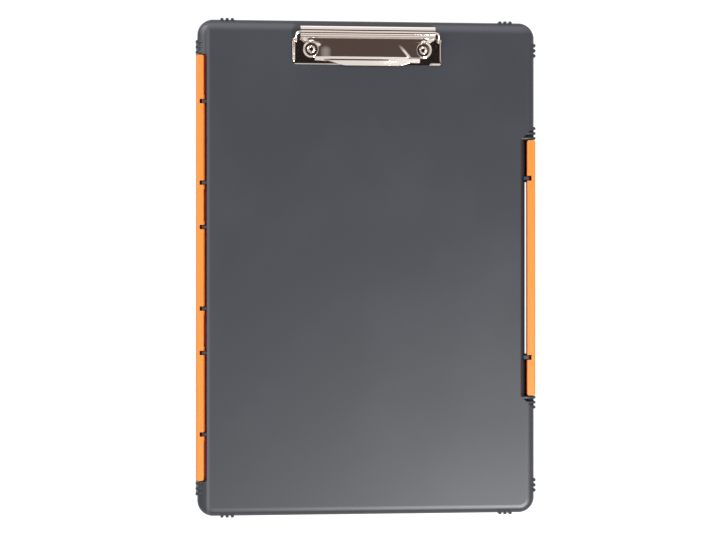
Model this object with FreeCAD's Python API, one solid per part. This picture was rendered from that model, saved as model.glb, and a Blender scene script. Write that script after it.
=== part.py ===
import FreeCAD, Part
import math
import os

# Storage clipboard box: two shallow moulded shells, a hinge strip on the left, a latch bar on the right
# and a sprung paper clip on the lid. All lengths are millimetres. The origin is on the underside at the
# middle of the closed box, +X runs from the hinge to the latch, +Y to the clip end and +Z up to the lid.

Vector = FreeCAD.Vector
ORIGIN = Vector(0, 0, 0)
X_AXIS = Vector(1, 0, 0)
Y_AXIS = Vector(0, 1, 0)
Z_AXIS = Vector(0, 0, 1)

# Case: two shells that meet at half height
case_width = 238.5
case_length = 348.0
case_height = 16.0
parting_gap = 0.3
corner_radius = 11.0
edge_roll = 3.2
wall = 2.0
tray_floor = 1.8
lid_panel = 2.2
floor_fillet = 1.2
hollow_corner = 3.0

# Recess for the hinge strip, and the shallow shoulder of the case along that side
hinge_recess_depth = 6.7
hinge_recess_inset = 24.25
recess_corner = 1.0
hinge_shoulder_drop = 0.8

# Recess for the latch bar, and the sloping shoulder that leads down to it
latch_recess_depth = 6.55
latch_recess_length = 182.2
latch_shoulder_run = 3.4
latch_shoulder_drop = 2.8
latch_shoulder_flare = 10.2

# Grip ribs near the corners and beside the latch
rib_count = 3
rib_width = 2.3
rib_pitch = 3.65
rib_proud = 1.25
rib_reach = 3.4
rib_edge_radius = 2.0
rib_bead_radius = 0.9
rib_face_drop = 0.15
end_rib_inset = 20.85
latch_rib_width = 2.1
latch_rib_pitch = 3.5
latch_rib_reaches = (11.3, 9.3, 5.0)

# Hinge hooks, and the pins that they snap on
hinge_axis_inset = 3.85
hinge_axis_drop = 2.4
hook_end_inset = 32.45
hook_pair_gap = 31.05
hook_pair_count = 3
pin_radius = 0.8
pin_clearance = 0.05
hook_wall = 0.7
hook_mouth_back = 0.6
hook_arm_underside = 0.25
notch_clearance = 0.6
hinge_notch_width = 3.1
knuckle_gap = 0.4

# Hinge strip
spine_proud = 0.9
spine_width = 5.4
spine_end_gap = 0.75
strip_face_drop = 0.1
spine_outer_radius = 1.6
spine_inner_radius = 0.5
spine_end_radius = 1.6
spine_web_gap = 0.2
barrel_radius = 1.6
barrel_stub = 3.0

# Latch bar
latch_proud = 1.0
latch_width = 6.25
latch_head_height = 3.9
latch_blade = 3.5
latch_end_gap = 0.4
latch_axis_inset = 4.2
latch_hook_inset = 27.0
latch_notch_width = 3.6
latch_notch_depth = 6.0
latch_outer_radius = 1.6
latch_inner_radius = 0.8
latch_end_radius = 1.6

# Snap between the latch bar and the tray
catch_overlap = 0.4
catch_gap = 0.3
catch_base = 2.8
catch_height = 1.6
snap_round = 0.3
nose_base = 0.8
nose_height = 1.6
nose_proud = 0.2

# Clip: places along the case are measured from its clip end
clip_sheet = 0.8
clip_setback = 4.85
clip_roll_radius = 4.2
clip_roll_length = 94.6
clip_roll_lift = 0.3
clip_base_overhang = 5.2
clip_base_front = 31.1
clip_base_step = 12.05
clip_base_rear = 6.45
clip_base_rear_inset = 1.3
clip_base_corner = 2.0
clip_rim_height = 1.8
clip_rim_start = 13.25
clip_rim_end = 28.8
clip_front_rim_height = 1.2
clip_front_rim_length = 9.0
jaw_crease_degrees = 195.0
jaw_root_degrees = 12.0
jaw_curl_end_degrees = -125.0
jaw_face_front = 25.75
jaw_face_height = 2.9
jaw_lip_inset = 10.3
jaw_lip_front = 28.55
jaw_lip_gap = 0.1
jaw_bulge_inset = 19.8
jaw_bulge_knee = 28.45
jaw_bulge_knee_rise = 0.6
jaw_bulge_front = 31.65
jaw_bend_radius = 1.0
jaw_neck_depth = 3.4
jaw_neck_inset = 4.3
jaw_lobe_radius = 5.9
jaw_collar_radius = 5.4
jaw_collar_height = 0.5
jaw_eye_radius = 4.2

# Spring wire
wire_radius = 0.8
wire_anchor_back = 14.85
wire_leg_offset = 3.0
wire_bend_radius = 2.0
wire_foot_radius = 1.3
wire_foot_height = 2.6
wire_hole_clearance = 0.1
coil_clearance = 0.3
coil_length = 18.0
coil_setback = 2.0

# Rivets and their washers
rivet_inset = 7.8
rivet_back = 20.5
rivet_head_radius = 3.0
rivet_head_height = 1.1
rivet_head_round = 0.7
rivet_bore_radius = 1.3
rivet_bore_round = 0.3
rivet_shank_radius = 1.9
rivet_clearance = 0.05
rivet_tail_radius = 2.7
rivet_tail_height = 0.6
washer_radius = 4.0
washer_thickness = 0.8

# Cuts run past the surface that they open by this much, and pieces that join reach this far into each other
overrun = 1.0

# Worked out from the sizes above
half_width = case_width / 2
half_length = case_length / 2
shell_height = (case_height - parting_gap) / 2
hinge_wall_x = -half_width + hinge_recess_depth
latch_wall_x = half_width - latch_recess_depth
hinge_axis_x = -half_width + hinge_axis_inset
latch_axis_x = half_width - latch_axis_inset
lower_axis_z = hinge_axis_drop
upper_axis_z = case_height - hinge_axis_drop
hook_radius = pin_radius + pin_clearance + hook_wall
notch_radius = hook_radius + notch_clearance
knuckle_radius = (upper_axis_z - lower_axis_z - knuckle_gap) / 2
hinge_recess_length = case_length - 2 * hinge_recess_inset
side_rib_y = hinge_recess_length / 2 + rib_width / 2 + rib_pitch
spine_length = hinge_recess_length - 2 * spine_end_gap
latch_length = latch_recess_length - 2 * latch_end_gap
hook_row = spine_length - 2 * hook_end_inset
hook_pair_span = (hook_row - (hook_pair_count - 1) * hook_pair_gap) / hook_pair_count
hook_pair_pitch = hook_pair_span + hook_pair_gap
hook_pair_centres = [(i - (hook_pair_count - 1) / 2) * hook_pair_pitch for i in range(hook_pair_count)]
hinge_hook_ys = [centre + side * hook_pair_span / 2 for centre in hook_pair_centres for side in (-1, 1)]
latch_hook_y = latch_length / 2 - latch_hook_inset
latch_hook_ys = [-latch_hook_y, latch_hook_y]
catch_start_y = latch_hook_y - latch_notch_width / 2 - catch_overlap
blade_x = half_width + latch_proud - latch_blade
clip_seat_z = case_height + clip_sheet
panel_under_z = case_height - lid_panel
roll_y = half_length - clip_setback - clip_roll_radius
roll_z = clip_seat_z + clip_roll_lift + clip_roll_radius
rivet_x = clip_roll_length / 2 - rivet_inset
rivet_y = half_length - rivet_back
wire_leg_x = clip_roll_length / 2 + wire_leg_offset


def arc_corner(before, corner, after, radius):
    """Start, middle and end of the arc that rounds the corner between two straight runs."""
    back = (before - corner).normalize()
    ahead = (after - corner).normalize()
    half_turn = back.getAngle(ahead) / 2
    bisector = (back + ahead).normalize()
    start = corner + back * (radius / math.tan(half_turn))
    end = corner + ahead * (radius / math.tan(half_turn))
    middle = corner + bisector * (radius / math.sin(half_turn) - radius)
    return start, middle, end


def rounded_wire(points, radii, closed=True):
    """A wire through the points, with each corner rounded by its radius. A radius of zero keeps it sharp."""
    count = len(points)
    edges = []
    stops = []
    for i in range(count):
        inner = closed or 0 < i < count - 1
        if inner and radii[i] > 0:
            stops.append(arc_corner(points[i - 1], points[i], points[(i + 1) % count], radii[i]))
        else:
            stops.append((points[i], None, points[i]))
    for i, (start, middle, end) in enumerate(stops):
        if middle is not None:
            edges.append(Part.Arc(start, middle, end).toShape())
        if closed or i < count - 1:
            edges.append(Part.LineSegment(end, stops[(i + 1) % count][0]).toShape())
    return Part.Wire(edges)


def rounded_prism(points, radii, travel):
    """The rounded closed outline, swept straight along a vector."""
    return Part.Face(rounded_wire(points, radii)).extrude(travel)


def plan(pairs, height):
    return [Vector(x, y, height) for x, y in pairs]


def side_view(pairs, x):
    return [Vector(x, y, z) for y, z in pairs]


def end_view(pairs, y):
    return [Vector(x, y, z) for x, z in pairs]


def block(low, high):
    """A box between two opposite corners."""
    return Part.makeBox(high[0] - low[0], high[1] - low[1], high[2] - low[2], Vector(*low))


def bar_along_y(radius, length, x, y, z):
    """A round bar parallel to Y, with its middle at a point."""
    return Part.makeCylinder(radius, length, Vector(x, y - length / 2, z), Y_AXIS)


def left_and_right(shape):
    return [shape.mirror(ORIGIN, X_AXIS), shape]


def both_ends(shape):
    return [shape, shape.mirror(ORIGIN, Y_AXIS)]


def turned_over(shape):
    """The shape on the other half of the case: the tray's side becomes the lid's."""
    return shape.mirror(Vector(0, 0, case_height / 2), Z_AXIS)


def touches_face(edge):
    return edge.BoundBox.ZMax < parting_gap / 2


# A shell is drawn with its outer face at zero height and its open side up, as the tray lies. The lid is the
# same form turned over.


def hinge_recess():
    """The long notch in the hinge side that the strip lies in."""
    end = hinge_recess_length / 2
    out_x = -half_width - rib_proud - overrun
    pairs = [(out_x, -end), (hinge_wall_x, -end), (hinge_wall_x, end), (out_x, end)]
    radii = [0, recess_corner, recess_corner, 0]
    return rounded_prism(plan(pairs, -overrun), radii, Vector(0, 0, shell_height + 2 * overrun))


def latch_recess():
    """The notch in the latch side that the latch bar lies in."""
    end = latch_recess_length / 2
    out_x = half_width + rib_proud + overrun
    pairs = [(out_x, end), (latch_wall_x, end), (latch_wall_x, -end), (out_x, -end)]
    radii = [0, recess_corner, recess_corner, 0]
    return rounded_prism(plan(pairs, -overrun), radii, Vector(0, 0, shell_height + 2 * overrun))


def latch_shoulder():
    """What the sloping shoulder takes off: it falls towards the latch, and flares out beyond its ends."""
    top_x = latch_wall_x - latch_shoulder_run
    near = latch_recess_length / 2
    far = near + latch_shoulder_flare
    flare_x = top_x + latch_shoulder_flare
    out_x = half_width + rib_proud + overrun
    pairs = [(top_x, -near), (top_x, near), (flare_x, far), (out_x, far), (out_x, -far), (flare_x, -far)]
    face = Part.Face(rounded_wire(plan(pairs, 0), [0] * len(pairs)))
    slope = face.extrude(Vector(latch_shoulder_run, 0, latch_shoulder_drop))
    above = face.extrude(Vector(0, 0, -overrun))
    return slope.fuse(above)


def hinge_shoulder():
    """The thin wedge that takes the outer face down a little towards the hinge side."""
    reach = hinge_recess_depth + overrun
    outer_x = hinge_wall_x - reach
    outer_z = hinge_shoulder_drop * reach / hinge_recess_depth
    pairs = [(hinge_wall_x, 0), (outer_x, outer_z), (outer_x, -overrun), (hinge_wall_x, -overrun)]
    start_y = -half_length - overrun
    return rounded_prism(end_view(pairs, start_y), [0] * len(pairs), Vector(0, -2 * start_y, 0))


def grip_rib(reach, width):
    """One bead over the edge of a shell: the shell's side is at zero X and its outer face at zero height."""
    top = rib_face_drop
    pairs = [(-reach, top), (rib_proud, top), (rib_proud, shell_height), (-reach, shell_height)]
    radii = [0, rib_edge_radius, 0, 0]
    bead = rounded_prism(end_view(pairs, -width / 2), radii, Vector(0, width, 0))
    rim = []
    for edge in bead.Edges:
        box = edge.BoundBox
        flat = box.YLength < width / 2
        inboard = box.XMax < -reach / 2
        on_parting = box.ZMin > shell_height / 2
        if flat and not inboard and not on_parting:
            rim.append(edge)
    return bead.makeFillet(rib_bead_radius, rim)


def placed_rib(rib, x, y, turn):
    copy = rib.copy()
    copy.rotate(ORIGIN, Z_AXIS, turn)
    copy.translate(Vector(x, y, 0))
    return copy


def grip_ribs():
    """Every rib of one shell: eight groups near the corners, and one group beyond each end of the latch."""
    rib = grip_rib(rib_reach, rib_width)
    ribs = []
    for i in range(rib_count):
        step = (i - (rib_count - 1) / 2) * rib_pitch
        for side in (1, -1):
            end_x = side * (half_width - end_rib_inset) + step
            side_y = side * side_rib_y + step
            ribs.append(placed_rib(rib, end_x, half_length, 90))
            ribs.append(placed_rib(rib, end_x, -half_length, -90))
            ribs.append(placed_rib(rib, half_width, side_y, 0))
            ribs.append(placed_rib(rib, -half_width, side_y, 180))
    for i, reach in enumerate(latch_rib_reaches):
        y = latch_recess_length / 2 + latch_rib_width / 2 + i * latch_rib_pitch
        ribs += both_ends(placed_rib(grip_rib(reach, latch_rib_width), half_width, y, 0))
    return ribs


def hollow(panel):
    """The space inside a shell, above its panel."""
    right = half_width - wall
    left = hinge_wall_x + wall
    latch_x = latch_wall_x - wall
    end = half_length - wall
    latch_end = latch_recess_length / 2 + latch_shoulder_flare + wall
    pairs = [
        (right, end),
        (left, end),
        (left, -end),
        (right, -end),
        (right, -latch_end),
        (latch_x, -latch_end),
        (latch_x, latch_end),
        (right, latch_end),
    ]
    outer = corner_radius - wall
    inner = hollow_corner
    radii = [outer, inner, inner, outer, inner, inner, inner, inner]
    space = rounded_prism(plan(pairs, panel), radii, Vector(0, 0, shell_height))
    floor_edges = [edge for edge in space.Edges if edge.BoundBox.ZMax < panel + parting_gap / 2]
    return space.makeFillet(floor_fillet, floor_edges)


def knuckle_relief():
    """What lies outside the hinge axis and too far from it, where it would foul the other shell."""
    out_x = -half_width - rib_proud - overrun
    start_y = -half_length - rib_proud - overrun
    outside = block((out_x, start_y, hinge_axis_drop), (hinge_axis_x, -start_y, shell_height + overrun))
    return outside.cut(bar_along_y(knuckle_radius, -2 * start_y, hinge_axis_x, 0, hinge_axis_drop))


def hook(width, wall_distance):
    """A snap hook round a pin at the origin, on an arm from a wall that lies at that distance along +X."""
    ring = bar_along_y(hook_radius, width, 0, 0, 0)
    arm = block((0, -width / 2, -hook_radius), (wall_distance + overrun, width / 2, -hook_arm_underside))
    mouth = block(
        (-hook_mouth_back, -width / 2 - overrun, -hook_arm_underside),
        (hook_radius + overrun, width / 2 + overrun, hook_radius + overrun),
    )
    bore = bar_along_y(pin_radius + pin_clearance, width + 2 * overrun, 0, 0, 0)
    return ring.fuse(arm).cut([mouth, bore])


def hinge_hooks():
    width = hinge_notch_width - 2 * notch_clearance
    pattern = hook(width, hinge_wall_x - hinge_axis_x)
    return [pattern.translated(Vector(hinge_axis_x, y, hinge_axis_drop)) for y in hinge_hook_ys]


def latch_hooks():
    width = latch_notch_width - 2 * notch_clearance
    pattern = hook(width, latch_axis_x - latch_wall_x).mirror(ORIGIN, X_AXIS)
    return [pattern.translated(Vector(latch_axis_x, y, hinge_axis_drop)) for y in latch_hook_ys]


def latch_catches():
    """Two ledges on the tray's side, from the latch's hooks to the ends of its recess, for its noses."""
    tip_x = blade_x - catch_gap
    high = catch_base + catch_height
    root_x = latch_wall_x - overrun
    pairs = [(root_x, catch_base), (tip_x, catch_base), (tip_x, high), (root_x, high)]
    radii = [0, snap_round, snap_round, 0]
    length = latch_recess_length / 2 - catch_start_y + overrun
    return both_ends(rounded_prism(end_view(pairs, catch_start_y), radii, Vector(0, length, 0)))


def shell(panel):
    """One half of the case with its recesses, shoulders, ribs and hinge hooks."""
    x = half_width
    y = half_length
    pairs = [(x, y), (-x, y), (-x, -y), (x, -y)]
    body = rounded_prism(plan(pairs, 0), [corner_radius] * len(pairs), Vector(0, 0, shell_height))
    body = body.makeFillet(edge_roll, [edge for edge in body.Edges if touches_face(edge)])
    body = body.cut([latch_shoulder(), hinge_shoulder()])
    body = body.fuse(grip_ribs())
    body = body.cut([hinge_recess(), latch_recess(), hollow(panel), knuckle_relief()])
    return body.fuse(hinge_hooks())


def past(x, y):
    """A block that takes up everything beyond X and beyond Y, well past the case, for dividing a shell."""
    far = case_length + overrun
    return block((x, y, -overrun), (far, far, case_height))


def shell_pieces(body):
    """A shell in its seven pieces: its flat panel, its four sides, and its two corners by the latch."""
    corner_x = half_width - corner_radius
    left = hinge_wall_x + wall
    end = half_length - wall
    latch_end = latch_recess_length / 2
    pairs = [(corner_x, end), (left, end), (left, -end), (corner_x, -end)]
    radii = [0, hollow_corner, hollow_corner, 0]
    inside = rounded_prism(plan(pairs, -overrun), radii, Vector(0, 0, shell_height + 2 * overrun))
    rim = body.cut(inside)
    latch_side = rim.common(past(corner_x, -case_length))
    others = rim.cut(past(corner_x, -case_length))
    corner = past(corner_x, latch_end)
    clip_end = past(-case_width, end)
    return {
        "panel": body.common(inside),
        "hinge_side": others.cut(both_ends(clip_end)),
        "latch_side": latch_side.cut(both_ends(corner)),
        "clip_end": others.common(clip_end),
        "far_end": others.common(both_ends(clip_end)[1]),
        "clip_corner": latch_side.common(corner),
        "far_corner": latch_side.common(both_ends(corner)[1]),
    }


def tray_pieces():
    return shell_pieces(shell(tray_floor).fuse(latch_catches()))


def lid_pieces():
    pieces = shell_pieces(shell(lid_panel).fuse(latch_hooks()))
    pieces = {name: turned_over(piece) for name, piece in pieces.items()}
    hole = Part.makeCylinder(
        rivet_shank_radius + rivet_clearance,
        lid_panel + 2 * overrun,
        Vector(rivet_x, rivet_y, panel_under_z - overrun),
    )
    pieces["panel"] = pieces["panel"].cut(left_and_right(hole))
    return pieces


def rounded_bar(inner_x, outer_x, length, inner_radius, outer_radius, end_radius):
    """A bar along Y as high as the case, rounded along its edges and at its ends."""
    low = strip_face_drop
    high = case_height - strip_face_drop
    section = [(inner_x, low), (outer_x, low), (outer_x, high), (inner_x, high)]
    radii = [inner_radius, outer_radius, outer_radius, inner_radius]
    bar = rounded_prism(end_view(section, -length / 2), radii, Vector(0, length, 0))
    outline = [(inner_x, -length / 2), (outer_x, -length / 2), (outer_x, length / 2), (inner_x, length / 2)]
    ends = rounded_prism(plan(outline, 0), [end_radius] * len(outline), Vector(0, 0, case_height))
    return bar.common(ends)


def pin_notch(width, inboard, depth):
    """The cut round a pin at the origin for a hook: open to the case, and from its depth upwards."""
    around = bar_along_y(notch_radius, width, 0, 0, 0)
    low_x, high_x = sorted([-inboard * notch_radius, inboard * (hinge_recess_depth + overrun)])
    way_out = block((low_x, -width / 2, -depth), (high_x, width / 2, hinge_axis_drop + overrun))
    return around.fuse(way_out)


def spine_strip():
    """The hinge strip: an outer bar, a web, and barrels whose pins cross the hooks' notches."""
    outer_x = -half_width - spine_proud
    inner_x = outer_x + spine_width
    edges = (spine_inner_radius, spine_outer_radius, spine_end_radius)
    strip = rounded_bar(inner_x, outer_x, spine_length, *edges)
    web_end = spine_length / 2
    web = block(
        (inner_x - overrun, -web_end, lower_axis_z + barrel_radius),
        (hinge_wall_x - spine_web_gap, web_end, upper_axis_z - barrel_radius),
    )
    added = [web]
    barrel_length = hook_pair_span + hinge_notch_width + 2 * barrel_stub
    for centre in hook_pair_centres:
        for axis_z in (lower_axis_z, upper_axis_z):
            added.append(bar_along_y(barrel_radius, barrel_length, hinge_axis_x, centre, axis_z))
    strip = strip.fuse(added)
    notch = pin_notch(hinge_notch_width, 1, 0)
    pin_length = hinge_notch_width + barrel_stub
    notches = []
    pins = []
    for y in hinge_hook_ys:
        upper = notch.translated(Vector(hinge_axis_x, y, upper_axis_z))
        notches += [upper, turned_over(upper)]
        for axis_z in (lower_axis_z, upper_axis_z):
            pins.append(bar_along_y(pin_radius, pin_length, hinge_axis_x, y, axis_z))
    return strip.cut(notches).fuse(pins)


def latch_bar():
    """The latch bar: a head that turns on the lid's hooks, and a blade with a nose at each tray ledge."""
    outer_x = half_width + latch_proud
    inner_x = outer_x - latch_width
    edges = (latch_inner_radius, latch_outer_radius, latch_end_radius)
    bar = rounded_bar(inner_x, outer_x, latch_length, *edges)
    head_under_z = case_height - latch_head_height
    under_head = block((inner_x - overrun, -latch_length, 0), (blade_x, latch_length, head_under_z))
    tip_x = blade_x - nose_proud
    root_x = blade_x + overrun
    high = nose_base + nose_height
    pairs = [(root_x, nose_base), (root_x, high), (tip_x, high), (tip_x, nose_base)]
    length = latch_length / 2 - latch_end_radius - catch_start_y
    radii = [0, 0, snap_round, snap_round]
    nose = rounded_prism(end_view(pairs, catch_start_y), radii, Vector(0, length, 0))
    bar = bar.cut(under_head).fuse(both_ends(nose))
    notch = pin_notch(latch_notch_width, -1, latch_notch_depth)
    pin_length = latch_notch_width + 2 * overrun
    notches = [notch.translated(Vector(latch_axis_x, y, upper_axis_z)) for y in latch_hook_ys]
    pins = [bar_along_y(pin_radius, pin_length, latch_axis_x, y, upper_axis_z) for y in latch_hook_ys]
    return bar.cut(notches).fuse(pins)


def from_clip_end(distance):
    return half_length - distance


def clip_base_plate():
    """The plate riveted to the lid: narrower under the roll, with its ends and front corners turned up."""
    wide = clip_roll_length / 2 + clip_base_overhang
    narrow = clip_roll_length / 2 - clip_base_rear_inset
    front = from_clip_end(clip_base_front)
    step = from_clip_end(clip_base_step)
    rear = from_clip_end(clip_base_rear)
    pairs = [
        (wide, front),
        (wide, step),
        (narrow, step),
        (narrow, rear),
        (-narrow, rear),
        (-narrow, step),
        (-wide, step),
        (-wide, front),
    ]
    corner = clip_base_corner
    radii = [corner, corner, 0, corner, corner, 0, corner, corner]
    plate = rounded_prism(plan(pairs, case_height), radii, Vector(0, 0, clip_sheet))
    end_rim = block(
        (wide - clip_sheet, from_clip_end(clip_rim_end), case_height),
        (wide, from_clip_end(clip_rim_start), case_height + clip_rim_height),
    )
    front_rim = block(
        (wide - clip_base_corner - clip_front_rim_length, front, case_height),
        (wide - clip_base_corner, front + clip_sheet, case_height + clip_front_rim_height),
    )
    plate = plate.fuse(left_and_right(end_rim) + left_and_right(front_rim))
    rivet_hole = Part.makeCylinder(
        rivet_shank_radius + rivet_clearance,
        clip_sheet + 2 * overrun,
        Vector(rivet_x, rivet_y, case_height - overrun),
    )
    wire_hole = Part.makeCylinder(
        wire_radius + wire_hole_clearance,
        clip_sheet + 2 * overrun,
        Vector(wire_leg_x, from_clip_end(wire_anchor_back), case_height - overrun),
    )
    return plate.cut(left_and_right(rivet_hole) + left_and_right(wire_hole))


def bent_sheet(upper, length):
    """A bent sheet of clip metal, centred along X. The points run down its upper face to the front."""
    last = len(upper) - 1
    lower = []
    upper_radii = []
    lower_radii = []
    for i, point in enumerate(upper):
        ahead = (upper[min(i + 1, last)] - upper[min(i, last - 1)]).normalize()
        behind = (upper[max(i, 1)] - upper[max(i - 1, 0)]).normalize()
        bisector = (X_AXIS.cross(ahead) + X_AXIS.cross(behind)).normalize()
        lower.append(point + bisector * (clip_sheet / bisector.dot(X_AXIS.cross(ahead))))
        bends_down = ahead.cross(behind).dot(X_AXIS) < 0
        at_end = i in (0, last)
        upper_radii.append(0 if at_end else jaw_bend_radius + clip_sheet * bends_down)
        lower_radii.append(0 if at_end else jaw_bend_radius + clip_sheet * (not bends_down))
    sheet = rounded_prism(upper + lower[::-1], upper_radii + lower_radii[::-1], Vector(length, 0, 0))
    return sheet.translated(Vector(-length / 2, 0, 0))


def on_roll(radius, degrees, x):
    angle = math.radians(degrees)
    return Vector(x, roll_y + radius * math.cos(angle), roll_z + radius * math.sin(angle))


def jaw_roll():
    """The jaw's back edge: its root lies in the face sheet, and it curls up, over and round to below."""
    x = -clip_roll_length / 2
    root = jaw_crease_degrees + jaw_root_degrees
    middle = (root + jaw_curl_end_degrees) / 2
    inner = clip_roll_radius - clip_sheet
    ends = (root, middle, jaw_curl_end_degrees)
    outer_arc = [on_roll(clip_roll_radius, degrees, x) for degrees in ends]
    inner_arc = [on_roll(inner, degrees, x) for degrees in ends]
    edges = [
        Part.Arc(*outer_arc).toShape(),
        Part.LineSegment(outer_arc[2], inner_arc[2]).toShape(),
        Part.Arc(*inner_arc[::-1]).toShape(),
        Part.LineSegment(inner_arc[0], outer_arc[0]).toShape(),
    ]
    return Part.Face(Part.Wire(edges)).extrude(Vector(clip_roll_length, 0, 0))


def jaw_face(seam, front):
    """The jaw's flat face: shoulders at the roll, and a lobe with an eye round each rivet."""
    slope = (seam.z - front.z) / (seam.y - front.y)
    down = X_AXIS.cross(front - seam).normalize() * clip_sheet

    def on_face(x, y):
        return Vector(x, y, front.z + slope * (y - front.y))

    crease_y = on_roll(clip_roll_radius, jaw_crease_degrees, 0).y
    back = clip_roll_length / 2
    neck = back - jaw_neck_inset
    lip = back - jaw_lip_inset
    half = [(back, seam.y), (back, crease_y), (neck, crease_y - jaw_neck_depth), (lip, front.y)]
    other_half = [(-x, y) for x, y in half[::-1]]
    points = [on_face(x, y) for x, y in half + other_half]
    plate = rounded_prism(points, [0] * len(points), down)
    eye_centre = on_face(rivet_x, rivet_y)
    lobe = Part.makeCylinder(jaw_lobe_radius, clip_sheet, eye_centre, down)
    collar = Part.makeCylinder(jaw_collar_radius, jaw_collar_height + clip_sheet, eye_centre + down, -down)
    eye = Part.makeCylinder(jaw_eye_radius, 2 * roll_z, eye_centre + down * roll_z, -down)
    return plate.fuse(left_and_right(lobe.fuse(collar))).cut(left_and_right(eye))


def clip_jaw():
    """The pressed jaw: a curled back edge, a flat face with two eyes, and a lip with a bulge."""
    crease = on_roll(clip_roll_radius, jaw_crease_degrees, 0)
    lip_z = clip_seat_z + jaw_lip_gap + clip_sheet
    seam = Vector(0, crease.y + clip_sheet, crease.z)
    front = Vector(0, from_clip_end(jaw_face_front), clip_seat_z + jaw_face_height)
    lip = Vector(0, from_clip_end(jaw_lip_front), lip_z)
    knee = Vector(0, from_clip_end(jaw_bulge_knee), lip_z + jaw_bulge_knee_rise)
    tip = Vector(0, from_clip_end(jaw_bulge_front), lip_z)
    lip_sheet = bent_sheet([seam, front, lip], clip_roll_length - 2 * jaw_lip_inset)
    bulge_sheet = bent_sheet([seam, front, knee, tip], clip_roll_length - 2 * jaw_bulge_inset)
    return jaw_roll().fuse([jaw_face(seam, front), lip_sheet, bulge_sheet])


def clip_spring():
    """One bent wire through the roll: its feet stand in the base plate, and its coils carry the roll."""
    side = wire_leg_x
    anchor_y = from_clip_end(wire_anchor_back)
    foot_z = clip_seat_z + wire_foot_height
    end_z = case_height + wire_hole_clearance
    half_path = [Vector(side, roll_y, roll_z), Vector(side, anchor_y, foot_z), Vector(side, anchor_y, end_z)]
    other_half = [Vector(-point.x, point.y, point.z) for point in half_path[::-1]]
    radii = [0, wire_foot_radius, wire_bend_radius, wire_bend_radius, wire_foot_radius, 0]
    path = rounded_wire(other_half + half_path, radii, closed=False)
    section = Part.Wire(Part.makeCircle(wire_radius, other_half[0], Z_AXIS))
    wire = path.makePipeShell([section], True, False)
    pack_radius = clip_roll_radius - clip_sheet - coil_clearance
    pack_start = clip_roll_length / 2 - coil_setback - coil_length
    pack = Part.makeCylinder(pack_radius, coil_length, Vector(pack_start, roll_y, roll_z), X_AXIS)
    return wire.fuse(left_and_right(pack))


def rivet():
    """A tubular rivet with a domed head on the base plate and its tail clenched over the washer."""
    head_top = clip_seat_z + rivet_head_height
    tail_top = panel_under_z - washer_thickness
    tail_bottom = tail_top - rivet_tail_height
    pairs = [
        (rivet_bore_radius, tail_bottom),
        (rivet_tail_radius, tail_bottom),
        (rivet_tail_radius, tail_top),
        (rivet_shank_radius, tail_top),
        (rivet_shank_radius, clip_seat_z),
        (rivet_head_radius, clip_seat_z),
        (rivet_head_radius, head_top),
        (rivet_bore_radius, head_top),
    ]
    radii = [0, rivet_bore_round, 0, 0, 0, 0, rivet_head_round, rivet_bore_round]
    section = Part.Face(rounded_wire(end_view(pairs, 0), radii))
    return section.revolve(ORIGIN, Z_AXIS, 360).translated(Vector(rivet_x, rivet_y, 0))


def rivet_washer():
    place = Vector(rivet_x, rivet_y, panel_under_z - washer_thickness)
    disc = Part.makeCylinder(washer_radius, washer_thickness, place)
    return disc.cut(Part.makeCylinder(rivet_shank_radius + rivet_clearance, washer_thickness, place))


def single_solid(name, shape):
    """The shape as one clean solid, or an error that names the piece."""
    clean = shape.removeSplitter()
    if len(clean.Solids) != 1 or not clean.isValid():
        raise ValueError(f"{name} is {len(clean.Solids)} solids, valid {clean.isValid()}")
    return clean.Solids[0]


def write_parts():
    rivet_left, rivet_right = left_and_right(rivet())
    washer_left, washer_right = left_and_right(rivet_washer())
    nodes = {
        "spine_strip": spine_strip(),
        "latch_bar": latch_bar(),
        "clip_base_plate": clip_base_plate(),
        "clip_jaw": clip_jaw(),
        "clip_spring": clip_spring(),
        "rivet_left": rivet_left,
        "rivet_right": rivet_right,
        "rivet_washer_left": washer_left,
        "rivet_washer_right": washer_right,
    }
    nodes.update({f"tray_{name}": piece for name, piece in tray_pieces().items()})
    nodes.update({f"lid_{name}": piece for name, piece in lid_pieces().items()})
    os.makedirs("parts", exist_ok=True)
    for name, shape in nodes.items():
        single_solid(name, shape).exportStep(f"parts/{name}.step")


write_parts()
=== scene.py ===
import math

import bpy
import numpy as np
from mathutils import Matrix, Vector


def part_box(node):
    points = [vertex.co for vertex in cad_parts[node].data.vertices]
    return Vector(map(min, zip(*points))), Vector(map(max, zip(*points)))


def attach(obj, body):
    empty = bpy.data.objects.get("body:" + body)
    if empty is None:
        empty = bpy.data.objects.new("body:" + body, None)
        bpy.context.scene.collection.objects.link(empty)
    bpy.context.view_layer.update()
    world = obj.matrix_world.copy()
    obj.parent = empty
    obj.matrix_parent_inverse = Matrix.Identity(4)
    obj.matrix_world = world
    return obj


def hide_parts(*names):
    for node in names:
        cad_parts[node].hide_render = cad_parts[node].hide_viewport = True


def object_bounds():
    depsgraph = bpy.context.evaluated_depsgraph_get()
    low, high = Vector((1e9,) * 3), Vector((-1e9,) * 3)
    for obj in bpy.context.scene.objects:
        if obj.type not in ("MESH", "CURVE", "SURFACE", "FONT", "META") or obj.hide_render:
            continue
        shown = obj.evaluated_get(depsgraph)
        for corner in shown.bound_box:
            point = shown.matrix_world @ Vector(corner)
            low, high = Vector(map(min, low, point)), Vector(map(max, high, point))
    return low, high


# Storage clipboard box, seen from straight above: a dark grey moulded case, an orange hinge strip and latch
# bar, and a nickel plated paper clip. Materials, lamps and camera are in metres, the clip's shapes in mm.

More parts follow.
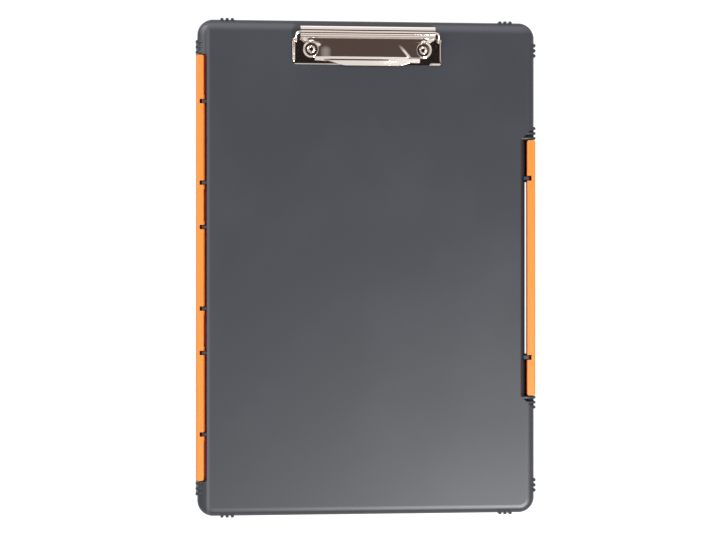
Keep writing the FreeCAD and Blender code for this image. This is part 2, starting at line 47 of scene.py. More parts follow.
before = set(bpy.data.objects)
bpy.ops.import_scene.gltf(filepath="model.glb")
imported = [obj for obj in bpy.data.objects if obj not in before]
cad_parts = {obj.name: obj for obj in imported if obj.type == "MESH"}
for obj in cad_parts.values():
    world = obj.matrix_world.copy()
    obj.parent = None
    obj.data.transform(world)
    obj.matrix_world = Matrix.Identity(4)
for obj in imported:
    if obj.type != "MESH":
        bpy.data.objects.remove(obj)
cad_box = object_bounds()
mm = 0.001


# The case: two shells of polypropylene, injection moulded in tools whose faces are spark eroded to a satin.
# The lid's face is the writing surface. The tray shows only at the edges and through the latch's gap.

CASE_GREY = "#25272d"
CASE_SCUFF = "#2a2d33"
# Painted shade: where ambient occlusion finds the case closed in, within the reach below, its colour is mixed
# towards this near black.
CASE_PAINTED_SHADE = "#060607"
CASE_ROUGHNESS = 0.42
POLYPROPYLENE_IOR = 1.49
PAINTED_SHADE_REACH = 5 * mm
PAINTED_SHADE_SKY = (0.35, 0.85)

# Painted highlight: pale bands that stand for light caught on the lid's rounded edges: insets from the clip's
# end, and places along X by the hinge strip.
EDGE_PAINTED_HIGHLIGHT = "#4a4a50"
END_HIGHLIGHT_BAND = (9.7 * mm, 4.9 * mm, 4.0 * mm, 2.2 * mm)
HINGE_HIGHLIGHT_BAND = (-113.2 * mm, -112.4 * mm, -111.2 * mm, -110.0 * mm)
HINGE_HIGHLIGHT_SHARE = 0.6

# The lid's face is crowned: it falls away over its last 6 mm, more softly than the solid's rounded edge.
HALF_OUTLINE = (119.25 * mm, 174 * mm)
OUTLINE_CORNER = 11 * mm
EDGE_FALL = 6 * mm
EDGE_CROWN = 9 * mm

# A spark eroded grain is finer than this, and is drawn coarser so that it shows.
GRAIN = 0.45 * mm
GRAIN_DEPTH = 0.05 * mm
GRAIN_STRENGTH = 0.12
CLOUD = 60 * mm
CLOUD_RUB = (0.45, 0.8)
CLOUD_HAZE = 0.01


def linear(hex_colour):
    """sRGB hex to linear RGBA: a channel c becomes ((c + 0.055) / 1.055) ** 2.4, or c / 12.92 near black."""
    channels = [int(hex_colour[i : i + 2], 16) / 255 for i in (1, 3, 5)]
    return [c / 12.92 if c <= 0.04045 else ((c + 0.055) / 1.055) ** 2.4 for c in channels] + [1.0]


def add(tree, kind, feeds=(), **settings):
    """Adds a node. Settings name its properties, and feeds give {input socket: value or output socket}. The
    two colours of a Mix node are its inputs 6 and 7, and the mixed colour is its output 2."""
    node = tree.nodes.new(kind)
    for name, value in settings.items():
        setattr(node, name, value)
    for socket, source in dict(feeds).items():
        if isinstance(source, bpy.types.NodeSocket):
            tree.links.new(source, node.inputs[socket])
        else:
            node.inputs[socket].default_value = source
    return node


def start_material(name):
    """A material with an empty node tree."""
    material = bpy.data.materials.new(name)
    material.use_nodes = True
    tree = material.node_tree
    tree.nodes.clear()
    return material, tree


def band(tree, along, places):
    """One between the second and third of four places along an axis, and eased to zero at the other two."""
    ends = []
    for start, full in (places[:2], places[:1:-1]):
        feeds = {"Value": along, "From Min": start, "From Max": full}
        ends.append(add(tree, "ShaderNodeMapRange", feeds, interpolation_type="SMOOTHSTEP").outputs[0])
    return add(tree, "ShaderNodeMath", {0: ends[0], 1: ends[1]}, operation="MULTIPLY").outputs[0]


def painted_highlight_cover(tree, place):
    """How far the painted highlight covers the plastic: fully in the band at the clip's end, in part beside
    the hinge.
    """
    axes = add(tree, "ShaderNodeSeparateXYZ", {"Vector": place}).outputs
    end = band(tree, axes["Y"], [cad_box[1][1] - inset for inset in END_HIGHLIGHT_BAND])
    full_side = band(tree, axes["X"], HINGE_HIGHLIGHT_BAND)
    side = add(tree, "ShaderNodeMath", {0: full_side, 1: HINGE_HIGHLIGHT_SHARE}, operation="MULTIPLY")
    return add(tree, "ShaderNodeMath", {0: end, 1: side.outputs[0]}, operation="MAXIMUM").outputs[0]


def crowned_normal(tree, place):
    """Normal of a face that falls by t * t / (2 * EDGE_CROWN), where t is the distance past a rounded
    rectangle that lies EDGE_FALL inside the case's outline."""
    flat = add(tree, "ShaderNodeVectorMath", {0: place, 1: (1, 1, 0)}, operation="MULTIPLY")
    folded = add(tree, "ShaderNodeVectorMath", {0: flat.outputs[0]}, operation="ABSOLUTE")
    corner = (HALF_OUTLINE[0] - OUTLINE_CORNER, HALF_OUTLINE[1] - OUTLINE_CORNER, 0)
    beyond = add(tree, "ShaderNodeVectorMath", {0: folded.outputs[0], 1: corner}, operation="SUBTRACT")
    outer = add(tree, "ShaderNodeVectorMath", {0: beyond.outputs[0]}, operation="MAXIMUM")
    away = add(tree, "ShaderNodeVectorMath", {0: outer.outputs[0]}, operation="LENGTH").outputs["Value"]
    start = OUTLINE_CORNER - EDGE_FALL
    past = add(tree, "ShaderNodeMath", {0: away, 1: start}, operation="SUBTRACT", use_clamp=True).outputs[0]
    square = add(tree, "ShaderNodeMath", {0: past, 1: past}, operation="MULTIPLY").outputs[0]
    fall = add(tree, "ShaderNodeMath", {0: square, 1: -0.5 / EDGE_CROWN}, operation="MULTIPLY").outputs[0]
    return add(tree, "ShaderNodeBump", {"Height": fall, "Strength": 1, "Distance": 1}).outputs["Normal"]


def moulded_polypropylene(name, colour, scuff, shade_colour, roughness, edge_highlight=None):
    """Polypropylene off a spark eroded tool: a waxy satin with a fine grain and faint rubbed clouds. Its
    colour is darkened by painted shade in crevices, where ambient occlusion finds it closed in. A painted
    highlight, where given, pales the lid's edge bands, and comes with the lid's soft edge."""
    material, tree = start_material(name)
    place = add(tree, "ShaderNodeTexCoord").outputs["Object"]
    feeds = {"Vector": place, "Scale": 1 / CLOUD, "Detail": 3, "Roughness": 0.5}
    cloud = add(tree, "ShaderNodeTexNoise", feeds).outputs["Fac"]
    feeds = {"Value": cloud, "From Min": CLOUD_RUB[0], "From Max": CLOUD_RUB[1]}
    rub = add(tree, "ShaderNodeMapRange", feeds).outputs[0]
    feeds = {"Factor": rub, 6: linear(colour), 7: linear(scuff)}
    face = add(tree, "ShaderNodeMix", feeds, data_type="RGBA").outputs[2]
    # Painted highlight: a paler colour mixed in along the lid's edge bands, where its rounded edges catch the
    # light.
    if edge_highlight:
        feeds = {"Factor": painted_highlight_cover(tree, place), 6: face, 7: linear(edge_highlight)}
        face = add(tree, "ShaderNodeMix", feeds, data_type="RGBA").outputs[2]
    # Painted shade: ambient occlusion mixes the colour towards the shade colour in crevices and recesses.
    sky = add(tree, "ShaderNodeAmbientOcclusion", {"Distance": PAINTED_SHADE_REACH}, samples=8).outputs["AO"]
    feeds = {"Value": sky, "From Min": PAINTED_SHADE_SKY[0], "From Max": PAINTED_SHADE_SKY[1]}
    openness = add(tree, "ShaderNodeMapRange", feeds).outputs[0]
    feeds = {"Factor": openness, 6: linear(shade_colour), 7: face}
    shaded_face = add(tree, "ShaderNodeMix", feeds, data_type="RGBA").outputs[2]
    feeds = {"Value": cloud, "To Min": roughness - CLOUD_HAZE, "To Max": roughness + CLOUD_HAZE}
    satin = add(tree, "ShaderNodeMapRange", feeds).outputs[0]
    grain = add(tree, "ShaderNodeTexNoise", {"Vector": place, "Scale": 1 / GRAIN, "Detail": 2}).outputs["Fac"]
    feeds = {"Height": grain, "Strength": GRAIN_STRENGTH, "Distance": GRAIN_DEPTH}
    if edge_highlight:
        feeds["Normal"] = crowned_normal(tree, place)
    bump = add(tree, "ShaderNodeBump", feeds).outputs["Normal"]
    feeds = {"Base Color": shaded_face, "Roughness": satin, "Normal": bump, "IOR": POLYPROPYLENE_IOR}
    shader = add(tree, "ShaderNodeBsdfPrincipled", feeds)
    add(tree, "ShaderNodeOutputMaterial", {"Surface": shader.outputs["BSDF"]})
    return material


def dress(node, material):
    """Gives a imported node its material."""
    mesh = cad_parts[node].data
    mesh.materials.clear()
    mesh.materials.append(material)


case_plastic = moulded_polypropylene(
    "spark_eroded_grey_polypropylene", CASE_GREY, CASE_SCUFF, CASE_PAINTED_SHADE, CASE_ROUGHNESS, EDGE_PAINTED_HIGHLIGHT
)
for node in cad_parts:
    if node.startswith(("tray_", "lid_")):
        dress(node, case_plastic)


# The hinge strip and the latch bar: orange polypropylene mouldings, smoother and waxier than the case. Both
# are snapped on moulded pins, and painted shade turns them deep red where they lie close to the case.

TRIM_ORANGE = "#cf7b30"
TRIM_WORN = "#d27e33"
# Painted shade: the deep red that the orange is mixed towards in the recesses beside the case.
TRIM_PAINTED_SHADE = "#a01a02"
TRIM_ROUGHNESS = 0.34

trim_plastic = moulded_polypropylene(
    "satin_orange_polypropylene", TRIM_ORANGE, TRIM_WORN, TRIM_PAINTED_SHADE, TRIM_ROUGHNESS
)
dress("spine_strip", trim_plastic)
dress("latch_bar", trim_plastic)


# The clip's base plate: a thin nickel plated steel pressing that two rivets hold on the lid. Its two ends and
# the right of its front edge are turned up, and the left of its front edge is broken.

NICKEL = "#f0e4dc"
NICKEL_ROUGHNESS = 0.05

# Polishing lines are finer than this, and are drawn coarser so that they show.
POLISH_LINE = 0.3 * mm
POLISH_STRETCH = (0.05, 1, 1)
POLISH_HAZE = 0.02
POLISH_DEPTH = 0.02 * mm
POLISH_STRENGTH = 0.08

SHEET = 0.8
SHARP_FROM = math.radians(50)
PLATE_STEP_BACK = 5.6
PLATE_STEP = 0.1
PLATE_REAR_INSET = 6.5
PLATE_CORNER = 2.0
PLATE_ROWS = (12, 64)
PLATE_COLUMNS = 121

# Where a value has two numbers for one rim, they are for the left and the right of the plate.
RIM_EASE = 0.8
END_RIM_START = 2.3
END_RIM_END = 17.85
END_RIM_RISE = (1.0, 0.25)
END_RIM_WIDTH = 1.5
FRONT_RIM_START = 1.2
FRONT_RIM_END = (36.0, 8.0)
FRONT_RIM_END_EASE = 2.0
FRONT_RIM_RISE = (-0.2, 0.5)
FRONT_RIM_WIDTH = (0.8, 1.3)


def nickel_plate(name, roughness):
    """Bright nickel on steel: a mirror finish, with haze and relief in fine polishing lines along X."""
    material, tree = start_material(name)
    place = add(tree, "ShaderNodeTexCoord").outputs["Object"]
    drawn = add(tree, "ShaderNodeMapping", {"Vector": place, "Scale": POLISH_STRETCH}).outputs["Vector"]
    feeds = {"Vector": drawn, "Scale": 1 / POLISH_LINE, "Detail": 3}
    lines = add(tree, "ShaderNodeTexNoise", feeds).outputs["Fac"]
    feeds = {"Value": lines, "To Min": roughness - POLISH_HAZE, "To Max": roughness + POLISH_HAZE}
    haze = add(tree, "ShaderNodeMapRange", feeds).outputs[0]
    feeds = {"Height": lines, "Strength": POLISH_STRENGTH, "Distance": POLISH_DEPTH}
    bump = add(tree, "ShaderNodeBump", feeds).outputs["Normal"]
    feeds = {"Base Color": linear(NICKEL), "Metallic": 1, "Roughness": haze, "Normal": bump}
    shader = add(tree, "ShaderNodeBsdfPrincipled", feeds)
    add(tree, "ShaderNodeOutputMaterial", {"Surface": shader.outputs["BSDF"]})
    return material


def ramp(value, start, full):
    """Zero up to start, one from full on, and 3t^2 - 2t^3 between them. Start may be the larger one."""
    t = np.clip((value - start) / (full - start), 0, 1)
    return t * t * (3 - 2 * t)


def skin(name, loops, material, closed=False):
    """A solid's skin from loops of points in mm, as an array (loops, points, 3). Each loop joins the next
    one. Strips across the first and last loops cap the ends, or they join each other where it is closed."""
    count, points = loops.shape[:2]
    row = np.arange(count if closed else count - 1)[:, None] * points
    ahead = (row + points) % (count * points)
    here = np.arange(points)[None, :]
    beside = (here + 1) % points
    quads = np.stack([row + here, row + beside, ahead + beside, ahead + here], axis=-1).reshape(-1, 4)
    if not closed:
        across = np.arange(points // 2 - 1)
        cap = np.stack([across + 1, across, points - 1 - across, points - 2 - across], axis=-1)
        quads = np.concatenate([quads, cap, cap[:, ::-1] + (count - 1) * points])
    vertices = loops.reshape(-1, 3) * mm
    a, b, c, d = (vertices[quads[:, i]] for i in range(4))
    volume = np.sum(a * np.cross(b, c)) + np.sum(a * np.cross(c, d))
    quads = quads if volume > 0 else quads[:, ::-1]
    mesh = bpy.data.meshes.new(name)
    mesh.from_pydata(vertices.tolist(), [], quads.tolist())
    mesh.polygons.foreach_set("use_smooth", np.ones(len(quads), dtype=bool))
    mesh.set_sharp_from_angle(angle=SHARP_FROM)
    mesh.materials.append(material)
    piece = bpy.data.objects.new(name, mesh)
    bpy.context.collection.objects.link(piece)
    return piece


def sheet(name, top, material):
    """A pressed sheet: its upper face is a grid (rows, columns, 3), and the lower one lies a sheet's
    thickness along the reversed normal, the cross product of the grid's two directions."""
    normal = np.cross(np.gradient(top, axis=1), np.gradient(top, axis=0))
    normal /= np.linalg.norm(normal, axis=-1, keepdims=True)
    under = top - normal * SHEET
    return skin(name, np.concatenate([top, under[:, ::-1]], axis=1), material)


def base_plate_face():
    """Upper face of the base plate: rows from back to front, each as wide as the plan is there. Ramps raise
    it towards the two ends and the right front corner, and lower its front edge on the left."""
    low, high = np.array(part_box("clip_base_plate")) / mm
    step_y = high[1] - PLATE_STEP_BACK
    behind = np.linspace(high[1], step_y, PLATE_ROWS[0])
    y = np.concatenate([behind, np.linspace(step_y - PLATE_STEP, low[1], PLATE_ROWS[1])])
    wide = np.where(y > step_y - PLATE_STEP / 2, high[0] - PLATE_REAR_INSET, high[0])
    short = np.clip(PLATE_CORNER - (y - low[1]), 0, PLATE_CORNER)
    wide = wide - PLATE_CORNER + np.sqrt(PLATE_CORNER**2 - short**2)
    share = np.sin(np.linspace(-np.pi / 2, np.pi / 2, PLATE_COLUMNS))
    x = wide[:, None] * share
    y = y[:, None] + 0 * x
    from_front = y - low[1]
    from_end = high[0] - np.abs(x)
    front_end = np.where(x < 0, *FRONT_RIM_END)
    in_end_rim = ramp(from_front, END_RIM_START, END_RIM_START + RIM_EASE)
    in_end_rim = in_end_rim * ramp(from_front, END_RIM_END, END_RIM_END - RIM_EASE)
    in_front_rim = ramp(from_end, FRONT_RIM_START - RIM_EASE, FRONT_RIM_START)
    in_front_rim = in_front_rim * ramp(from_end, front_end, front_end - FRONT_RIM_END_EASE)
    end_rise = np.where(x < 0, *END_RIM_RISE) * ramp(from_end, END_RIM_WIDTH, 0)
    front_rise = np.where(x < 0, *FRONT_RIM_RISE) * ramp(from_front, np.where(x < 0, *FRONT_RIM_WIDTH), 0)
    rise = end_rise * in_end_rim + front_rise * in_front_rim
    return np.stack([x, y, low[2] + SHEET + rise], axis=-1)


nickel = nickel_plate("bright_nickel_plated_steel", NICKEL_ROUGHNESS)
base_plate = sheet("base_plate", base_plate_face()[::-1], nickel)
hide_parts("clip_base_plate")
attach(base_plate, "lid")


# The jaw: one pressed sheet, curled over at the back round the spring, with a flat face that is folded down
# towards its ends, a lip that bulges forward in the middle, and a ring round each rivet. Nickel plated steel.

ROLL_RADIUS = 4.2
ROLL_START = -125
ROLL_END = 195
ROLL_ROWS = 129
ROLL_FLATS = ((10, 0.5), (5, 0.8))
ROLL_CREASE_TILTS = (-13, 2)
ROLL_CREASE_RADIUS = 3.0

JAW_COLUMNS = 191
FACE_ROWS = 60
FACE_FRONT = 5.9
FACE_FRONT_RISE = 2.0
NECK = 4.3
NECK_DEPTH = 3.4
SHOULDER_DROP = 1.2
SHOULDER_WIDTH = 6.0
FOLD_DROP = {-1: 1.0, 1: 0.4}
FOLD_START = 0.5
FOLD_LENGTH = 8.0
FOLD_FROM_MIDDLE = 29.4
LEFT_FOLD_WIDTH = 12.5
RIGHT_FOLD_WIDTH = 4.4
RIGHT_FOLD_LEAN = 0.85
STUD_HEIGHT = 0.7
STUD_SIZE = (1.3, 0.9)
RIVET_X = 39.5
RIVET_Y = 153.5
LOBE_MIDDLE = 4.9

LIP_ROWS = 52
LIP_INSET = 10.3
LIP_LEFT = 2.5
LIP_RIGHT = 3.8
LIP_MIDDLE = 5.9
BULGE_LEFT = (-29, -15)
BULGE_RIGHT = (31, 21)
LIP_LEVEL = (1.6, 2.6)
LIP_LEVEL_SHARE = 0.9
LEVEL_LEFT = (-34, -26)
LEVEL_RIGHT = (25, 1)
LIP_FOLD_END = 1.2

RING_INNER = 4.2
RING_OUTER = 5.9
RING_POINTS = (22, 72)
RING_LIFT = 0.3
RING_SLOPE = 0.04
COLLAR_HEIGHT = 0.15
COLLAR_RADII = (5.4, 4.3)
EDGE_DROP = 0.6
EDGE_START = 5.1
EDGE_BACK_SHARE = 0.2
EDGE_FACING = math.radians(-55)
EDGE_SPREAD = 5 / 9

jaw_low, jaw_high = np.array(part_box("clip_jaw")) / mm


def roll_profile():
    """The curled edge from its free end below to the crease in front, as rows of (y, z). Each step follows
    the tangent for radius times angle, with two short flats on top and a tighter crease beside them."""
    facing = np.linspace(ROLL_START, ROLL_END, ROLL_ROWS)
    tilt = 90 - facing
    in_crease = (tilt > ROLL_CREASE_TILTS[0]) & (tilt < ROLL_CREASE_TILTS[1])
    length = np.where(in_crease, ROLL_CREASE_RADIUS, ROLL_RADIUS) * np.radians(facing[1] - facing[0])
    for flat_tilt, flat in ROLL_FLATS:
        length[np.argmin(np.abs(tilt - flat_tilt))] += flat
    y = np.cumsum(-np.sin(np.radians(facing)) * length)
    z = np.cumsum(np.cos(np.radians(facing)) * length)
    scale = 2 * ROLL_RADIUS / (y.max() - y.min())
    return (y - y.max()) * scale + jaw_high[1], (z - z.max()) * scale + jaw_high[2]


def face_rows(share, crease_y, crease_z):
    """The jaw's face from the crease to the lip. Each row is as wide as the outline is there, and the height
    is a sloping plane, less two folds and two shoulders, plus two round studs behind the rivets."""
    half = jaw_high[0]
    front_y = jaw_low[1] + FACE_FRONT
    front_z = jaw_low[2] + SHEET + FACE_FRONT_RISE
    down = np.linspace(0, 1, FACE_ROWS)[1:, None]
    y = crease_y + (front_y - crease_y) * down
    neck_y = crease_y - NECK_DEPTH
    outline = np.interp(-y, [-crease_y, -neck_y, -front_y], [half, half - NECK, half - LIP_INSET])
    gap = np.abs(y - RIVET_Y)
    eye = RIVET_X - np.sqrt(np.clip(LOBE_MIDDLE**2 - gap**2, 0, None))
    x = np.where(gap < LOBE_MIDDLE, np.minimum(outline, eye), outline) * share
    y = y + 0 * x
    plane = crease_z + (front_z - crease_z) * down
    from_crease = ramp(crease_y - y, FOLD_START, FOLD_START + FOLD_LENGTH)
    left = ramp(-x - FOLD_FROM_MIDDLE, -LEFT_FOLD_WIDTH / 2, LEFT_FOLD_WIDTH / 2)
    lean = FOLD_FROM_MIDDLE - RIGHT_FOLD_LEAN * (y - front_y)
    right = ramp(x - lean, -RIGHT_FOLD_WIDTH / 2, RIGHT_FOLD_WIDTH / 2)
    shoulder = SHOULDER_DROP * ramp(np.abs(x), half - SHOULDER_WIDTH, half)
    stud_x = (np.abs(x) - RIVET_X) / STUD_SIZE[0]
    stud_y = (y - RIVET_Y - LOBE_MIDDLE) / STUD_SIZE[1]
    stud = STUD_HEIGHT * np.exp(-(stud_x**2) - stud_y**2)
    z = plane - from_crease * (FOLD_DROP[-1] * left + FOLD_DROP[1] * right) - shoulder + stud
    return np.stack([x, y, z], axis=-1)


def lip_rows(share, front_y, front_z):
    """The lip, from the face's front edge down to the base plate. It reaches farthest in the middle, falls in
    proportion to the reach but for a nearly level strip, and the face's right fold runs out in it."""
    down = np.linspace(0, 1, LIP_ROWS)[1:, None]
    x = (jaw_high[0] - LIP_INSET) * share + 0 * down
    side = LIP_LEFT + (LIP_RIGHT - LIP_LEFT) * (share + 1) / 2
    bulge = ramp(x, *BULGE_LEFT) * ramp(x, *BULGE_RIGHT)
    out = (side + (LIP_MIDDLE - side) * bulge) * down
    level = LIP_LEVEL_SHARE * ramp(x, *LEVEL_LEFT) * ramp(x, *LEVEL_RIGHT)
    sloping = out - level * (np.clip(out, *LIP_LEVEL) - LIP_LEVEL[0])
    fall = sloping / (LIP_MIDDLE - level * (LIP_LEVEL[1] - LIP_LEVEL[0]))
    fold = FOLD_DROP[1] * ramp(x - FOLD_FROM_MIDDLE, -RIGHT_FOLD_WIDTH / 2, RIGHT_FOLD_WIDTH / 2)
    z = front_z + fold * ramp(out, 0, LIP_FOLD_END) - FACE_FRONT_RISE * fall
    return np.stack([x, front_y - out, z], axis=-1)


def jaw_upper_face():
    """Rows from the curl's free end, over the roll, down the face and the lip."""
    roll_y, roll_z = roll_profile()
    share = np.linspace(-1, 1, JAW_COLUMNS)
    roll = np.stack(np.broadcast_arrays(jaw_high[0] * share, roll_y[:, None], roll_z[:, None]), axis=-1)
    face = face_rows(share, roll_y[-1], roll_z[-1])
    lip = lip_rows(share, face[-1, :, 1], face[-1, :, 2])
    return np.concatenate([roll, face, lip])


def lobe_ring(side):
    """A ring round a rivet: its section has a low collar at the eye and rolls off outside, both by ramps. The
    roll-off deepens towards EDGE_FACING by a ramp of the cosine, and the ring slopes like the jaw's face."""
    r = np.linspace(RING_INNER, RING_OUTER, RING_POINTS[0])
    turn = np.linspace(0, 2 * np.pi, RING_POINTS[1], endpoint=False)[:, None]
    front = ramp(np.cos(turn - EDGE_FACING), -EDGE_SPREAD, EDGE_SPREAD)
    drop = EDGE_DROP * (EDGE_BACK_SHARE + (1 - EDGE_BACK_SHARE) * front)
    over = COLLAR_HEIGHT * ramp(r, *COLLAR_RADII) - drop * ramp(r, EDGE_START, RING_OUTER)
    r = np.concatenate([r, r[::-1]])
    over = np.concatenate([over, over[:, ::-1] - SHEET], axis=1)
    x = side * RIVET_X + r * np.cos(turn)
    y = RIVET_Y + r * np.sin(turn)
    seat = jaw_low[2] + SHEET + FACE_FRONT_RISE - FOLD_DROP[side] + RING_LIFT
    return np.stack([x, y, seat + over + RING_SLOPE * (y - RIVET_Y)], axis=-1)


jaw = sheet("jaw", jaw_upper_face()[:, ::-1], nickel)
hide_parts("clip_jaw")
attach(jaw, "jaw")
for side, hand in ((-1, "left"), (1, "right")):
    ring = skin(f"jaw_lobe_{hand}", lobe_ring(side), nickel, closed=True)
    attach(ring, "jaw")


# The spring: one length of hard drawn steel wire. Its feet stand in the base plate, its legs slant up to the
# roll, and two packs of coils inside the roll push the jaw down.

WIRE_RADIUS = 0.8
WIRE_ROUNDNESS = 4
LEG_STRAIGHT = 3.2
LEG_CORNER_CUTS = 4
COIL_RADIUS = 2.3
COIL_TURNS = 10
COIL_PITCH = 1.75
COIL_FROM_END = 3.0
COIL_POINTS_PER_TURN = 40


def corners_cut(path, times):
    """Chaikin's rule: each corner gives way to two points, a quarter and three quarters along its sides."""
    for _ in range(times):
        near = 0.75 * path[:-1] + 0.25 * path[1:]
        far = 0.25 * path[:-1] + 0.75 * path[1:]
        path = np.concatenate([path[:1], np.stack([near, far], axis=1).reshape(-1, 3), path[-1:]])
    return path


def spring_path():
    """Half of the wire, mirrored for the other half: a foot, a leg, and a helix whose radius grows from the
    roll's axis over its first turn and goes back to it over its last."""
    low, high = np.array(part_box("clip_spring")) / mm
    leg_x = high[0] - WIRE_RADIUS
    foot_y = low[1] + WIRE_RADIUS
    axis_y = jaw_high[1] - ROLL_RADIUS
    axis_z = jaw_high[2] - ROLL_RADIUS
    start = jaw_high[0] - COIL_FROM_END
    knee_z = low[2] + LEG_STRAIGHT
    leg = [(leg_x, foot_y, low[2]), (leg_x, foot_y, knee_z), (leg_x, axis_y, axis_z), (start, axis_y, axis_z)]
    along = np.linspace(0, 1, COIL_POINTS_PER_TURN * COIL_TURNS)
    one_turn = 1 / COIL_TURNS
    swell = COIL_RADIUS * ramp(along, 0, one_turn) * ramp(along, 1, 1 - one_turn)
    turn = 2 * np.pi * COIL_TURNS * along
    x = start - COIL_TURNS * COIL_PITCH * along
    helix = np.stack([x, axis_y + swell * np.cos(turn), axis_z + swell * np.sin(turn)], axis=-1)
    half = np.concatenate([corners_cut(np.array(leg), LEG_CORNER_CUTS)[:-1], helix])
    return np.concatenate([half, half[::-1] * (-1, 1, 1)]) * mm


wire = bpy.data.curves.new("spring_wire", "CURVE")
wire.dimensions = "3D"
wire.bevel_depth = WIRE_RADIUS * mm
wire.bevel_resolution = WIRE_ROUNDNESS
wire.use_fill_caps = True
points = spring_path()
spline = wire.splines.new("POLY")
spline.points.add(len(points) - 1)
spline.points.foreach_set("co", np.concatenate([points, np.ones((len(points), 1))], axis=1).ravel())
wire.materials.append(nickel)
spring = bpy.data.objects.new("spring_wire", wire)
bpy.context.collection.objects.link(spring)
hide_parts("clip_spring")
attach(spring, "lid")


# The rivets: tubular steel rivets, nickel plated, with a rolled head on the base plate and the tail clenched
# over a plain washer inside the lid.

HEAD_RADIUS = 3.0
HEAD_HEIGHT = 1.1
HEAD_EDGE = 0.25
HEAD_POINTS = 25
BORE_RADIUS = 1.35
SHANK_RADIUS = 1.9
TAIL_RADIUS = 2.7
RIVET_TURN_POINTS = 64


def rivet_skin(side):
    """A section turned about the rivet's axis: the head's top is half an ellipse from the bore to the rim."""
    low, high = np.array(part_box("rivet_left")) / mm
    seat = high[2] - HEAD_HEIGHT
    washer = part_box("rivet_washer_left")[0][2] / mm
    arch = np.linspace(0, np.pi, HEAD_POINTS)
    head_r = (HEAD_RADIUS + BORE_RADIUS) / 2 - (HEAD_RADIUS - BORE_RADIUS) / 2 * np.cos(arch)
    head_z = seat + HEAD_EDGE + (HEAD_HEIGHT - HEAD_EDGE) * np.sin(arch)
    stem_r = [HEAD_RADIUS, SHANK_RADIUS, SHANK_RADIUS, TAIL_RADIUS, TAIL_RADIUS, BORE_RADIUS]
    stem_z = [seat, seat, washer, washer, low[2], low[2]]
    r = np.concatenate([head_r, stem_r])
    z = np.concatenate([head_z, stem_z])
    turn = np.linspace(0, 2 * np.pi, RIVET_TURN_POINTS, endpoint=False)[:, None]
    x = side * RIVET_X + r * np.cos(turn)
    return np.stack([x, RIVET_Y + r * np.sin(turn), z + 0 * turn], axis=-1)


for side, hand in ((-1, "left"), (1, "right")):
    rivet = skin(f"tubular_rivet_{hand}", rivet_skin(side), nickel, closed=True)
    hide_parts(f"rivet_{hand}")
    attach(rivet, "lid")
    dress(f"rivet_washer_{hand}", nickel)


# The studio: a white sweep under the box, a soft key lamp beyond the case's lower right corner, a weak fill
# beyond its upper left one, and dark cards overhead, which stand for the unlit room that nickel mirrors.

FLOOR_WHITE = "#7c7c7c"
FLOOR_REACH = 6.0
FLOOR_GLOW = 0.92
AIR_STRENGTH = 0.27
AIR_GLOW = 0.6

KEY_PLACE = (0.6, -0.95, 1.6)
KEY_TARGET = (0, -0.05, 0)
KEY_SIZE = 0.5
KEY_WATTS = 54
FILL_PLACE = (-1.0, 0.8, 1.1)
FILL_TARGET = (0, 0.05, 0)
FILL_SIZE = 0.8
FILL_WATTS = 18

# Each glow is the axis that it runs along, where it starts and ends, and its level at each.
SIDE_GLOWS = (("X", -0.12, -0.6, 0, 0.6), ("X", 0.38, 0.85, 0, 0.8))
END_GLOWS = (("Y", 0.33, 0.39, 0.095, 0.02), ("Y", -1.65, -1.55, 0.4, 0))
ROOM_TONE = (1, 0.77, 0.69, 1)
WINDOW_TONE = (1, 0.95, 0.93, 1)
WINDOW_TONE_FROM = 0.3
CARD_HEIGHT = 1.9
CARD_HALF_WIDTH = 0.95
CARDS = {"dark_card": (-0.5, 0.5), "dark_strip": (1.0, 1.5), "near_card": (-3.2, -1.6)}


def flat_piece(name, left, right, near, far, z, material):
    """A flat rectangle that faces up."""
    mesh = bpy.data.meshes.new(name)
    mesh.from_pydata([(left, near, z), (right, near, z), (right, far, z), (left, far, z)], [], [range(4)])
    mesh.materials.append(material)
    piece = bpy.data.objects.new(name, mesh)
    bpy.context.collection.objects.link(piece)
    return piece


def seen_white(tree, shader, strength):
    """Adds light that only the camera, mirrors and glass see, so that the white stays off the object."""
    path = add(tree, "ShaderNodeLightPath").outputs
    seen = path["Is Camera Ray"]
    for other in ("Is Glossy Ray", "Is Transmission Ray"):
        seen = add(tree, "ShaderNodeMath", {0: seen, 1: path[other]}, operation="MAXIMUM").outputs[0]
    level = add(tree, "ShaderNodeMath", {0: seen, 1: strength}, operation="MULTIPLY").outputs[0]
    glow = add(tree, "ShaderNodeEmission", {"Strength": level}).outputs["Emission"]
    return add(tree, "ShaderNodeAddShader", {0: shader, 1: glow}).outputs["Shader"]


def soft_lamp(name, place, target, size, watts):
    """A square softbox that faces its target."""
    lamp = bpy.data.lights.new(name, "AREA")
    lamp.shape = "SQUARE"
    lamp.size = size
    lamp.energy = watts
    holder = bpy.data.objects.new(name, lamp)
    holder.location = place
    holder.rotation_euler = (Vector(target) - Vector(place)).to_track_quat("-Z", "Y").to_euler()
    bpy.context.collection.objects.link(holder)


def brightest(tree, axes, glows):
    """The highest of some glows, each a straight ramp of levels between two places along an axis."""
    level = 0.0
    for axis, start, end, first, last in glows:
        feeds = {"Value": axes[axis], "From Min": start, "From Max": end, "To Min": first, "To Max": last}
        here = add(tree, "ShaderNodeMapRange", feeds).outputs[0]
        level = add(tree, "ShaderNodeMath", {0: level, 1: here}, operation="MAXIMUM").outputs[0]
    return level


sweep, tree = start_material("white_paper_sweep")
paper = add(tree, "ShaderNodeBsdfDiffuse", {"Color": linear(FLOOR_WHITE)}).outputs["BSDF"]
add(tree, "ShaderNodeOutputMaterial", {"Surface": seen_white(tree, paper, FLOOR_GLOW)})
floor = flat_piece("floor", -FLOOR_REACH, FLOOR_REACH, -FLOOR_REACH, FLOOR_REACH, 0, sweep)

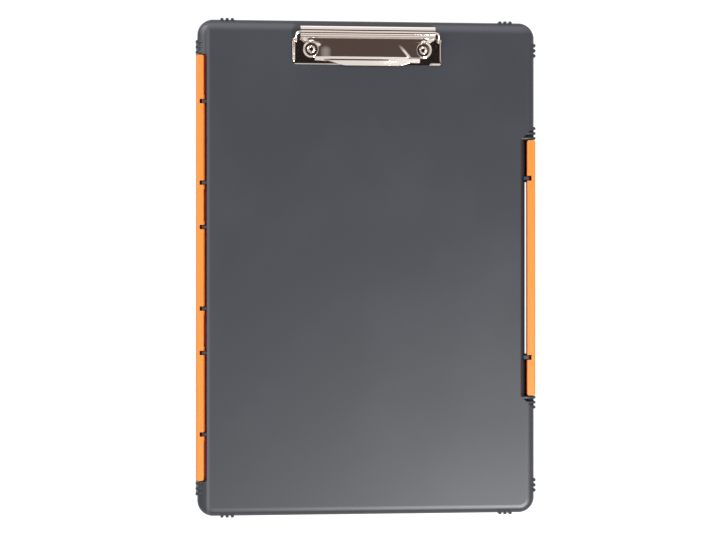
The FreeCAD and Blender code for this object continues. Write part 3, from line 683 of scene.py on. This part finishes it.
world = bpy.data.worlds.new("studio_air")
bpy.context.scene.world = world
world.use_nodes = True
tree = world.node_tree
tree.nodes.clear()
air = add(tree, "ShaderNodeBackground", {"Color": (1, 1, 1, 1), "Strength": AIR_STRENGTH})
add(tree, "ShaderNodeOutputWorld", {"Surface": seen_white(tree, air.outputs["Background"], AIR_GLOW)})

soft_lamp("key_softbox", KEY_PLACE, KEY_TARGET, KEY_SIZE, KEY_WATTS)
soft_lamp("fill_softbox", FILL_PLACE, FILL_TARGET, FILL_SIZE, FILL_WATTS)

velvet, tree = start_material("black_velvet_card")
place = add(tree, "ShaderNodeTexCoord").outputs["Object"]
axes = add(tree, "ShaderNodeSeparateXYZ", {"Vector": place}).outputs
sides = brightest(tree, axes, SIDE_GLOWS)
paler = add(tree, "ShaderNodeMapRange", {"Value": sides, "From Max": WINDOW_TONE_FROM}).outputs[0]
feeds = {"Factor": paler, 6: ROOM_TONE, 7: WINDOW_TONE}
tone = add(tree, "ShaderNodeMix", feeds, data_type="RGBA").outputs[2]
level = brightest(tree, axes, SIDE_GLOWS + END_GLOWS)
glow = add(tree, "ShaderNodeEmission", {"Strength": level, "Color": tone}).outputs["Emission"]
add(tree, "ShaderNodeOutputMaterial", {"Surface": glow})
for name, (near, far) in CARDS.items():
    card = flat_piece(name, -CARD_HALF_WIDTH, CARD_HALF_WIDTH, near, far, CARD_HEIGHT, velvet)
    card.visible_camera = False
    card.visible_diffuse = False
    card.visible_shadow = False


# The camera stands nearly straight above and a little to the hinge's side, so the left edge is slightly
# nearer. In the picture the middle of the case is a little right of and above the centre.

PICTURE_WIDTH_PX = 720
PICTURE_HEIGHT_PX = 540
CASE_MIDDLE_PX = (366.35, 267.8)
REAL_PER_PX = 0.7097 * mm
CAMERA_DISTANCE = 1.1
CAMERA_LEAN = math.radians(4.5)
CAMERA_REACH = 100
SENSOR = 36.0

camera_data = bpy.data.cameras.new("camera")
camera_data.sensor_width = SENSOR
camera_data.lens = SENSOR * CAMERA_DISTANCE / (PICTURE_WIDTH_PX * REAL_PER_PX)
camera_data.clip_end = CAMERA_REACH
camera = bpy.data.objects.new("camera", camera_data)
across = (PICTURE_WIDTH_PX / 2 - CASE_MIDDLE_PX[0]) * REAL_PER_PX
along = (CASE_MIDDLE_PX[1] - PICTURE_HEIGHT_PX / 2) * REAL_PER_PX
half_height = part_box("lid_panel")[1][2] / 2
aim = Vector((across, along, half_height))
camera.location = aim + CAMERA_DISTANCE * Vector((-math.sin(CAMERA_LEAN), 0, math.cos(CAMERA_LEAN)))
camera.rotation_euler = (0, -CAMERA_LEAN, 0)
bpy.context.collection.objects.link(camera)
bpy.context.scene.camera = camera
bpy.context.scene.view_settings.view_transform = "Standard"
